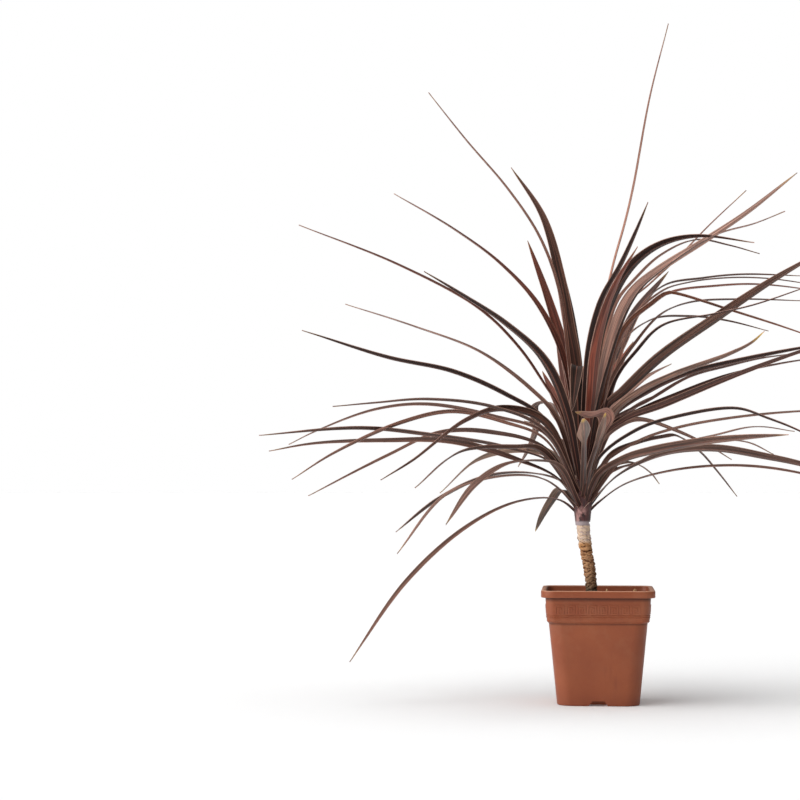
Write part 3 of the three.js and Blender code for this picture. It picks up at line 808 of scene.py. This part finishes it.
# One row a leaf, oldest first, in millimetres: its coat, the blade width, how far the tip lies behind
# the stem, the width that shows from the front at mid-length, or 0 for a blade that lies as it grew,
# then x and z along it.
leafRoutes = [
    ("umber", 18, -90, 7, -60, 304, -120, 301, -200, 261, -290, 180, -377, 58),
    ("umber", 14, -60, 3.5, 0, 298, 40, 327, 120, 349, 220, 355, 308, 344, 400, 318),
    ("green", 16, 160, 14, -45, 312, -57, 319, -70, 303, -84, 280, -95, 256),
    ("dark", 16, 430, 0, -30, 330, -35, 342, -34, 330, -30, 312),
    ("taupe", 14, -200, 3, -60, 321, -91, 338, -160, 337, -232, 310, -305, 222),
    ("taupe", 14, 330, 3, 20, 345, 60, 359, 100, 376, 160, 392, 225, 392, 268, 373),
    ("umber", 16, 230, 5, -40, 320, -80, 341, -160, 341, -240, 306, -307, 255),
    ("clay", 22, 100, 12, 20, 332, 60, 357, 110, 376, 180, 381, 260, 368, 308, 358, 390, 335),
    ("clay", 18, -330, 5, -60, 355, -94, 363, -140, 357, -187, 326, -231, 266),
    ("green", 12, 180, 6, 20, 352, 40, 360, 60, 358, 80, 345, 94, 328),
    ("umber", 22, 60, 9, -60, 335, -120, 363, -220, 391, -320, 393, -431, 389, -500, 378),
    ("clay", 22, -330, 13, 1, 341, 40, 365, 90, 379, 150, 390, 220, 398, 291, 403),
    ("green", 20, 340, 12, -67, 368, -106, 380, -180, 365, -240, 314),
    ("taupe", 14, 380, 2, 40, 366, 110, 386, 180, 402, 240, 415, 300, 408),
    ("umber", 20, -60, 6, -68, 358, -140, 383, -260, 402, -360, 412, -515, 402),
    ("clay", 16, 150, 4, 0, 348, 60, 391, 120, 412, 200, 427, 308, 438, 400, 440),
    ("umber", 18, -300, 7, -86, 379, -129, 383, -209, 376, -278, 322),
    ("umber", 16, 220, 6, 20, 371, 60, 390, 100, 399, 120, 401, 154, 378, 180, 349, 212, 309),
    ("dark", 20, 420, 0, -50, 350, -80, 372, -100, 382, -125, 386),
    ("dark", 18, -130, 5, 0, 363, 60, 409, 120, 429, 212, 442, 260, 427, 308, 408, 372, 372),
    ("dark", 20, 450, 0, -33, 340, -40, 368, -48, 388),
    ("umber", 20, 160, 7, -80, 381, -160, 405, -240, 405, -320, 370, -440, 310),
    ("taupe", 18, 120, 8, 0, 385, 40, 420, 66, 425, 120, 408, 170, 385, 204, 365),
    ("dark", 18, 420, 0, 0, 335, 22, 347, 40, 354, 62, 361),
    ("umber", 20, 100, 6, -80, 403, -160, 430, -260, 448, -340, 440, -431, 407, -470, 388),
    ("spoon", 18, -300, 15, -14, 345, 0, 390, 9, 420, 12, 437),
    ("dark", 22, 40, 10, 0, 388, 40, 424, 100, 447, 200, 488, 308, 528, 430, 566),
    ("rose", 18, -60, 6, -80, 395, -140, 420, -220, 437, -300, 420, -400, 375, -465, 335),
    ("dark", 20, 450, 0, 10, 400, 40, 430, 65, 450, 85, 462),
    ("umber", 18, -260, 4, -80, 408, -160, 444, -260, 456, -340, 451, -403, 446),
    ("dark", 18, 240, 6, 0, 400, 60, 437, 120, 463, 200, 493, 280, 511, 360, 524),
    ("umber", 18, -190, 9, -80, 422, -145, 442, -200, 424, -280, 364, -330, 334),
    ("dark", 16, 250, 5, 10, 412, 80, 455, 140, 490, 200, 507, 250, 519, 330, 530),
    ("dark", 20, 430, 0, -50, 380, -75, 405, -95, 418, -112, 424),
    ("dark", 20, -140, 8, 20, 425, 80, 469, 140, 496, 220, 516, 308, 534, 380, 546),
    ("dark", 20, -120, 7, -80, 424, -140, 463, -220, 498, -320, 520, -450, 562),
    ("ash", 22, 150, 12, -50, 405, -66, 432, -76, 451, -95, 445, -92, 415, -105, 380, -121, 354),
    ("yellowTaupe", 18, -300, 9, 20, 430, 65, 468, 120, 495, 200, 525, 235, 543, 255, 561),
    ("spoon", 32, -420, 29, -21, 360, -20, 400, -20, 416, -22, 428),
    ("clay", 16, 220, 5, -64, 430, -100, 470, -180, 529, -280, 568, -384, 602),
    ("taupe", 24, 300, 16, 20, 440, 45, 465, 75, 490, 113, 511),
    ("dark", 20, 400, 0, 15, 445, 45, 475, 75, 500, 95, 515),
    ("clay", 26, -160, 16, 10, 440, 40, 468, 100, 523, 180, 579, 260, 633, 352, 688),
    ("russet", 16, 60, 4.5, -58, 441, -80, 477, -120, 535, -180, 594, -300, 660, -455, 723),
    ("flap", 34, -150, 31, 2, 395, 14, 427, 8, 435, -8, 432, -34, 438),
    ("dark", 24, -320, 11, -48, 440, -82, 516, -140, 571, -213, 620, -264, 652),
    ("umber", 12, 330, 2.5, 30, 530, 80, 577, 140, 583, 195, 577, 261, 561),
    ("russet", 20, 450, 0, -45, 420, -60, 450, -72, 475, -84, 500),
    ("dark", 16, -160, 4, 28, 485, 60, 529, 100, 569, 180, 587, 240, 601, 330, 632),
    ("umber", 14, 250, 4, 20, 480, 60, 544, 100, 588, 140, 604, 214, 609, 318, 607),
    ("shadedDark", 28, -90, 27, -28, 400, -31, 480, -31, 507, -33, 490, -38, 440),
    ("tan", 18, -120, 7, 40, 560, 85, 603, 108, 618, 125, 616, 200, 593, 280, 568, 345, 546),
    ("umber", 12, 350, 2, 60, 585, 100, 629, 160, 641, 220, 647, 316, 645),
    ("russet", 16, 60, 5, 40, 560, 80, 600, 115, 620, 180, 629, 240, 632, 308, 626, 350, 618),
    ("russet", 22, 470, 0, -25, 400, -30, 460, -38, 500, -48, 540),
    ("umber", 14, 240, 3.5, 45, 565, 100, 622, 140, 635, 200, 642, 260, 641, 330, 632),
    ("russet", 20, 200, 8, -49, 508, -89, 597, -148, 663, -220, 717, -310, 771),
    ("dark", 26, 330, 21, 0, 480, 30, 530, 60, 590, 109, 652),
    ("russet", 20, 420, 0, -40, 430, -48, 480, -56, 530, -64, 575),
    ("umber", 18, 240, 7, 5, 500, 28, 600, 60, 641, 100, 678, 150, 700, 200, 692, 248, 679),
    ("russet", 20, 180, 0, 5, 430, 22, 480, 40, 520, 55, 545),
    ("tan", 14, 300, 3.5, 15, 520, 45, 600, 80, 632, 121, 670, 172, 723, 228, 776),
    ("russet", 24, 180, 19, -46, 511, -60, 560, -77, 615, -106, 699),
    ("dark", 28, -200, 18, -5, 500, 8, 570, 36, 636, 66, 672, 104, 695, 155, 705, 240, 696),
    ("umber", 14, -280, 3, 15, 500, 60, 615, 110, 662, 180, 707, 240, 725, 287, 744),
    ("red", 22, 440, 0, -12, 420, -2, 500, 10, 560, 22, 600),
    ("taupe", 24, 140, 16, 10, 500, 38, 590, 60, 625, 100, 657, 160, 695, 230, 742, 306, 803),
    ("red", 22, 420, 0, 5, 430, 25, 500, 40, 545, 52, 570),
    ("dark", 14, 380, 4, -26, 505, -33, 560, -40, 600, -52, 650, -66, 700),
    ("red", 22, -400, 16, -10, 450, -2, 530, 12, 590, 30, 635, 62, 690),
    ("umber", 26, 150, 19, -34, 510, -45, 570, -57, 640, -83, 735, -131, 811),
    ("red", 20, 480, 0, -28, 380, -35, 430, -40, 470, -44, 500),
    ("dark", 22, -260, 13, -15, 480, -5, 560, 10, 612, 38, 664, 60, 713, 78, 758),
    ("rose", 16, 130, 5, -45, 520, -60, 626, -89, 705, -136, 777, -200, 853, -257, 926),
    ("rose", 14, 120, 3, -8, 480, 5, 570, 26, 664, 44, 728, 57, 784, 82, 920, 110, 1032),
]


def placeBehind(x, z, depth):
    # where a point of the front view lies, once it is moved back along its line of sight
    turn = math.radians(blade["viewTurn"])
    viewpoint = Vector(view["place"])
    seen = Vector((x * math.cos(turn), x * math.sin(turn), z))
    return viewpoint.lerp(seen, (depth - viewpoint.y) / (seen.y - viewpoint.y))


def midrib(back, measured, rank):
    seen = [Vector((blade["crownX"], mix(blade["lowestRoot"], blade["highestRoot"], rank)))]
    seen += [Vector((x * mm, z * mm + blade["routeLevel"])) for x, z in zip(measured[0::2], measured[1::2])]
    runs = runAlong(seen)
    points = [placeBehind(point.x, point.y, back * mm * (run / runs[-1]) ** blade["depthPower"])
              for point, run in zip(seen, runs)]
    heading = points[1] - points[0]
    heading.z = 0
    points[0] += heading.normalized() * blade["rootDepth"]
    return throughPoints(points, blade["steps"])


def rollToShow(route, runs, share):
    # how far a blade is rolled about its midrib to show this share of its width to the front
    if not share:
        return 0
    middle = next(index for index, run in enumerate(runs) if run > runs[-1] / 2)
    heading = (route[1] - route[0]).normalized()
    across = heading.cross(Vector((0, 0, 1))).normalized()
    for start, end in zip(route[:middle], route[1:middle + 1]):
        along = (end - start).normalized()
        across = heading.rotation_difference(along) @ across
        heading = along
    away = Vector((0, 1, 0))
    away = (away - heading * away.dot(heading)).normalized()
    level = heading.cross(away)
    lie = math.atan2(across.dot(level), across.dot(away))
    rolls = [math.asin(share) - lie, -math.asin(share) - lie]
    return min((roll - math.pi * round(roll / math.pi) for roll in rolls), key=abs)


def makeBladeMaster():
    # a flat strip from 0 to 1 along X and -1 to 1 across, folded up from its midrib and closed at the tip
    leaveAll()
    bpy.ops.mesh.primitive_grid_add(x_subdivisions=blade["steps"], y_subdivisions=blade["columns"], size=1)
    master = justAdded("bladeMaster")
    master.location.x = 0.5
    master.scale.y = 2
    fixPlace(master)
    for column in range(1, blade["columns"] // 2 + 1):
        out = column * 2 / blade["columns"]
        pick(master, lambda vertex: abs(abs(vertex.co.y) - out) < 0.01)
        bpy.ops.transform.translate(value=(0, 0, blade["foldSlope"] * out))
    pick(master, lambda vertex: vertex.co.x > 0.999)
    bpy.ops.mesh.merge(type="CENTER")
    bpy.ops.object.mode_set(mode="OBJECT")
    rib = master.vertex_groups.new(name="thickness")
    for vertex in master.data.vertices:
        weight = mix(1, blade["marginShare"], min(abs(vertex.co.y) * 1.6, 1))
        rib.add([vertex.index], weight, "REPLACE")
    return master


def growLeaf(master, row, rank, draw):
    coat, width, back, shown, *measured = row
    colour, tip, narrow = coats[coat]
    route = midrib(back, measured, rank)
    runs = runAlong(route)
    length = runs[-1]
    roll = rollToShow(route, runs, shown / width)
    sway = draw.uniform(-blade["sway"], blade["sway"])
    tilts = [roll * easeIn(run / length, blade["rollLength"]) + sway * math.sin(run / length * 2 * math.pi)
             for run in runs]
    leaf = copyOf(master, "leaf")
    for vertex in leaf.data.vertices:
        share = vertex.co.x
        swell = easeIn(share - narrow, blade["swellLength"] * (1 - narrow))
        taper = max(1 - share ** blade["taperBend"], 0) ** blade["taperPower"]
        half = mix(blade["rootWidth"], width * mm, swell) / 2 * taper
        fold = mix(blade["rootFold"] / blade["foldSlope"], 1, easeIn(share, blade["rootFoldLength"]))
        vertex.co = (share * length, vertex.co.y * half, vertex.co.z * half * fold)
    settle(leaf, ("SOLIDIFY", {"thickness": blade["ribThickness"], "offset": 0,
                               "vertex_group": "thickness", "thickness_vertex_group": 0.0,
                               "material_offset": 1, "material_offset_rim": 2}))
    bendAlong(leaf, drawCurve("leafLine", route, tilts), "POS_X")
    leaf.vertex_groups.clear()
    count = len(leaf.data.vertices)
    shade = draw.uniform(0.8, 1.15)
    tint = leaf.data.attributes.new("leafTint", "FLOAT_COLOR", "POINT")
    tint.data.foreach_set("color", [colour[0] * shade, colour[1] * shade, colour[2] * shade, tip] * count)
    stalk = leaf.data.attributes.new("leafStalk", "FLOAT", "POINT")
    stalk.data.foreach_set("value", [narrow] * count)
    seed = leaf.data.attributes.new("leafSeed", "FLOAT", "POINT")
    seed.data.foreach_set("value", [draw.uniform(0, 40)] * count)
    return leaf


def makeLeafMaterial(name, shade):
    # shade darkens the colour, a painted shade for the underside
    material, tree, shader = newMaterial(name, 0.5, 0.2)
    tint = addNode(tree, "Attribute", attribute_name="leafTint", attribute_type="GEOMETRY")
    seed = addNode(tree, "Attribute", attribute_name="leafSeed", attribute_type="GEOMETRY").outputs["Fac"]
    stalk = addNode(tree, "Attribute", attribute_name="leafStalk", attribute_type="GEOMETRY").outputs["Fac"]
    along, across, _ = addNode(tree, "SeparateXYZ", {"Vector": addNode(tree, "UVMap").outputs["UV"]}).outputs
    out = reckon(tree, "ABSOLUTE", reckon(tree, "SUBTRACT", across, 0.5))

    def streaks(length, breadth, detail):
        place = addNode(tree, "CombineXYZ", {"X": reckon(tree, "MULTIPLY", along, length),
                                             "Y": reckon(tree, "MULTIPLY", across, breadth), "Z": seed})
        return mottle(tree, place.outputs["Vector"], 1, detail)

    base = blend(tree, 1.0, tint.outputs["Color"], (1.3 * shade, 1.28 * shade, 1.26 * shade, 1), "MULTIPLY")
    dim = blend(tree, 1.0, base, (0.42, 0.36, 0.36, 1), "MULTIPLY")
    warm = blend(tree, 1.0, base, (1.78, 1.34, 1.22, 1), "MULTIPLY")
    colour = blend(tree, rise(tree, streaks(3.5, 5, 2), 0.4, 0.6), dim, warm)
    # painted shade: one half of each blade is darker than the other, as light falls on the fold
    half = rise(tree, across, 0.47, 0.53)
    side = reckon(tree, "ROUND", reckon(tree, "FRACT", seed))
    foldShadedHalf = reckon(tree, "ABSOLUTE", reckon(tree, "SUBTRACT", half, side))
    colour = blend(tree, reckon(tree, "MULTIPLY", foldShadedHalf, 0.55), colour, dim)
    fine = streaks(9, 34, 2)
    colour = blend(tree, rise(tree, fine, 0.42, 0.62, 0, 0.85), colour, dim)
    colour = blend(tree, rise(tree, streaks(5, 20, 2), 0.58, 0.68, 0, 0.8), colour, warm)
    darkStart = reckon(tree, "MULTIPLY_ADD", stalk, 0.8, 0.04)
    darkEnd = reckon(tree, "MULTIPLY_ADD", stalk, 0.75, 0.3)
    colour = blend(tree, rise(tree, along, darkStart, darkEnd, 0.85, 0), colour, paint(40, 20, 18))
    rib = rise(tree, out, 0.03, 0.055, 0.45, 0)
    colour = blend(tree, rib, colour, paint(150, 96, 80))
    margin = rise(tree, out, 0.43, 0.48, 0, 0.7)
    colour = blend(tree, margin, colour, paint(178, 138, 118))
    tip = reckon(tree, "MULTIPLY", rise(tree, along, 0.93, 0.985), tint.outputs["Alpha"])
    colour = blend(tree, tip, colour, paint(206, 168, 72))
    tree.links.new(colour, shader.inputs["Base Color"])
    tree.links.new(rise(tree, fine, 0.3, 0.7, 0.42, 0.56), shader.inputs["Roughness"])
    dent(tree, shader, fine, 0.35, 0.0005)
    return material


def makeMarginMaterial():
    material, tree, shader = newMaterial("leafMargin", 0.5, 0.4)
    patch = rise(tree, mottle(tree, objectPlace(tree), 60), 0.35, 0.65)
    colour = blend(tree, patch, paint(112, 74, 64), paint(184, 146, 132))
    tree.links.new(colour, shader.inputs["Base Color"])
    return material


def makeLeaves():
    draw = random.Random(23)
    # the back is a darker copy of the face: painted shade
    master = wear(makeBladeMaster(), makeLeafMaterial("leafFace", 1.0), makeLeafMaterial("leafBackShaded", 0.7),
                  makeMarginMaterial())
    last = len(leafRoutes) - 1
    leaves = [growLeaf(master, row, index / last, draw) for index, row in enumerate(leafRoutes)]
    bpy.data.objects.remove(master)
    third = len(leaves) // 3
    for name, share in (("leaves_low", leaves[:third]), ("leaves_middle", leaves[third:2 * third]),
                        ("leaves_top", leaves[2 * third:])):
        tier = joinAll(share, name)
        smooth(tier, 45)
        finish(tier, "leaf_crown")


makeLeaves()
print("leaves: " + str(len(leafRoutes)) + " blades")


# The clasping leaf bases under the crown

clasp = {
    "count": 12, "bottom": 0.2681, "rise": 0.0052, "height": 0.034, "radius": 0.0098, "flare": 0.0036,
    "shrink": 0.00022, "thickness": 0.0015, "slope": 56, "neck": 0.012, "turn": 137.5, "first": 200,
    "sides": 40, "cuts": 3,
}

heart = {
    "foot": stem["top"] - 0.004, "radius": 0.0092,
    "rings": [(0.0096, 0.2746), (0.0106, 0.2866), (0.0112, 0.3026), (0.0100, 0.3246), (0.0070, 0.3526),
              (0.0035, 0.3806), (0.0010, 0.3946)],
}


def makeClasp(index, materials):
    # a short flared tube round the stem, cut slantwise so that it is low on one side
    low = clasp["bottom"] + index * clasp["rise"]
    radius = clasp["radius"] - index * clasp["shrink"]
    leaveAll()
    bpy.ops.mesh.primitive_cylinder_add(vertices=clasp["sides"], radius=radius, depth=clasp["height"],
                                        end_fill_type="NOTHING",
                                        location=(blade["crownX"], 0, low + clasp["height"] / 2))
    tube = wear(fixPlace(justAdded("clasp")), *materials)
    pick(tube, lambda vertex: vertex.co.z > low + clasp["height"] / 2)
    widen = (radius + clasp["flare"]) / radius
    bpy.ops.transform.resize(value=(widen, widen, 1),
                             center_override=(blade["crownX"], 0, low + clasp["height"]))
    pick(tube, lambda vertex: True)
    bpy.ops.mesh.subdivide(number_cuts=clasp["cuts"])
    turn = math.radians(clasp["first"] + index * clasp["turn"])
    slope = math.radians(clasp["slope"])
    normal = Vector((-math.sin(slope) * math.cos(turn), -math.sin(slope) * math.sin(turn), math.cos(slope)))
    bpy.ops.mesh.select_all(action="SELECT")
    bpy.ops.mesh.bisect(plane_co=(blade["crownX"], 0, low + clasp["neck"]), plane_no=normal, clear_outer=True)
    bpy.ops.object.mode_set(mode="OBJECT")
    settle(tube, ("SOLIDIFY", {"thickness": clasp["thickness"], "offset": 1, "material_offset_rim": 1}))
    return faceOut(tube)


def makeHeart(materials):
    # the wrapped heart of the crown, that the youngest leaves stand in
    leaveAll()
    bpy.ops.mesh.primitive_circle_add(vertices=clasp["sides"], radius=heart["radius"], fill_type="NGON",
                                      location=(blade["crownX"], 0, heart["foot"]))
    core = wear(fixPlace(justAdded("heart")), *materials)
    pick(core, lambda vertex: True)
    height, radius = heart["foot"], heart["radius"]
    for wanted, top in heart["rings"]:
        bpy.ops.mesh.extrude_region_move(TRANSFORM_OT_translate={"value": (0, 0, top - height)})
        ratio = wanted / radius
        bpy.ops.transform.resize(value=(ratio, ratio, 1), center_override=(blade["crownX"], 0, top))
        height, radius = top, wanted
    bpy.ops.object.mode_set(mode="OBJECT")
    settle(core, ("SUBSURF", {"levels": 2, "render_levels": 2}))
    return faceOut(core)


def makeClaspMaterial():
    material, tree, shader = newMaterial("leafBase", 0.45, 0.4)
    place = objectPlace(tree)
    side, _, height = addNode(tree, "SeparateXYZ", {"Vector": place}).outputs
    streak = mottle(tree, stretch(tree, place, (1, 1, 0.12)), 520, 3)
    colour = blend(tree, rise(tree, streak, 0.38, 0.64), paint(46, 22, 22), paint(92, 48, 46))
    # a pink blush low on the front
    blush = rise(tree, mottle(tree, stretch(tree, place, (1, 1, 0.5)), 90, 3), 0.47, 0.58)
    low = reckon(tree, "MULTIPLY", blush, rise(tree, height, 0.290, 0.298, 1, 0))
    patch = reckon(tree, "MULTIPLY", rise(tree, side, -0.034, -0.031, 0, 0.75),
                   rise(tree, side, -0.020, -0.016, 1, 0.15))
    colour = blend(tree, reckon(tree, "MULTIPLY", low, patch), colour, paint(184, 136, 130))
    ring = rise(tree, height, 0.2725, 0.2755, 0.95, 0)
    colour = blend(tree, ring, colour, paint(162, 146, 148))
    tree.links.new(colour, shader.inputs["Base Color"])
    dent(tree, shader, streak, 0.4, 0.0005)
    return material


def makeClaspEdgeMaterial():
    material, tree, shader = newMaterial("leafBaseEdge", 0.5, 0.4)
    patch = rise(tree, mottle(tree, objectPlace(tree), 140), 0.35, 0.65)
    colour = blend(tree, patch, paint(176, 142, 124), paint(214, 188, 168))
    tree.links.new(colour, shader.inputs["Base Color"])
    return material


def makeCrownFoot():
    materials = [makeClaspMaterial(), makeClaspEdgeMaterial()]
    wraps = [makeClasp(index, materials) for index in range(clasp["count"])]
    foot = joinAll([makeHeart(materials)] + wraps, "crown_foot")
    smooth(foot, 50)
    finish(foot, "leaf_crown")


makeCrownFoot()
print("crown: heart and clasping leaf bases")
